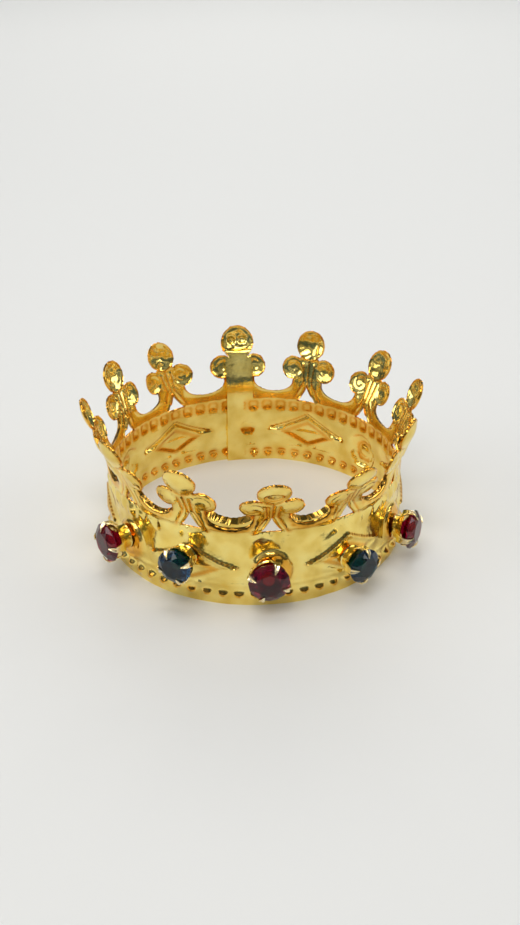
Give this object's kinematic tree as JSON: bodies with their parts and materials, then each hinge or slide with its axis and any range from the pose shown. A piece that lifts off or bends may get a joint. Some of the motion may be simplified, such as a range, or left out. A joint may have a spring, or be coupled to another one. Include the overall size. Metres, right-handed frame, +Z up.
{
  "type": "torah crown",
  "caption": "Miniature ring crown of stamped gilt brass strip with a pierced fleuron cresting, embossed band and claw-set red and blue glass stones along the front.",
  "frame": {"origin": "middle of the crown's footprint, on the plane it stands on", "axes": "+Z up, the stone-set front towards -Y, +X to the right seen from the front"},
  "size_m": [0.0746, 0.0772, 0.0339],
  "materials": {
    "gilt_brass": "polished gilt",
    "red_glass": "faceted foiled glass",
    "blue_glass": "faceted foiled glass"
  },
  "bodies": {
    "root": {"crown_strip": "gilt_brass", "setting_front": "gilt_brass", "setting_right_blue": "gilt_brass", "setting_right_red": "gilt_brass", "setting_left_blue": "gilt_brass", "setting_left_red": "gilt_brass", "stone_front": "red_glass", "stone_right_blue": "blue_glass", "stone_right_red": "red_glass", "stone_left_blue": "blue_glass", "stone_left_red": "red_glass"}
  },
  "joints": []
}
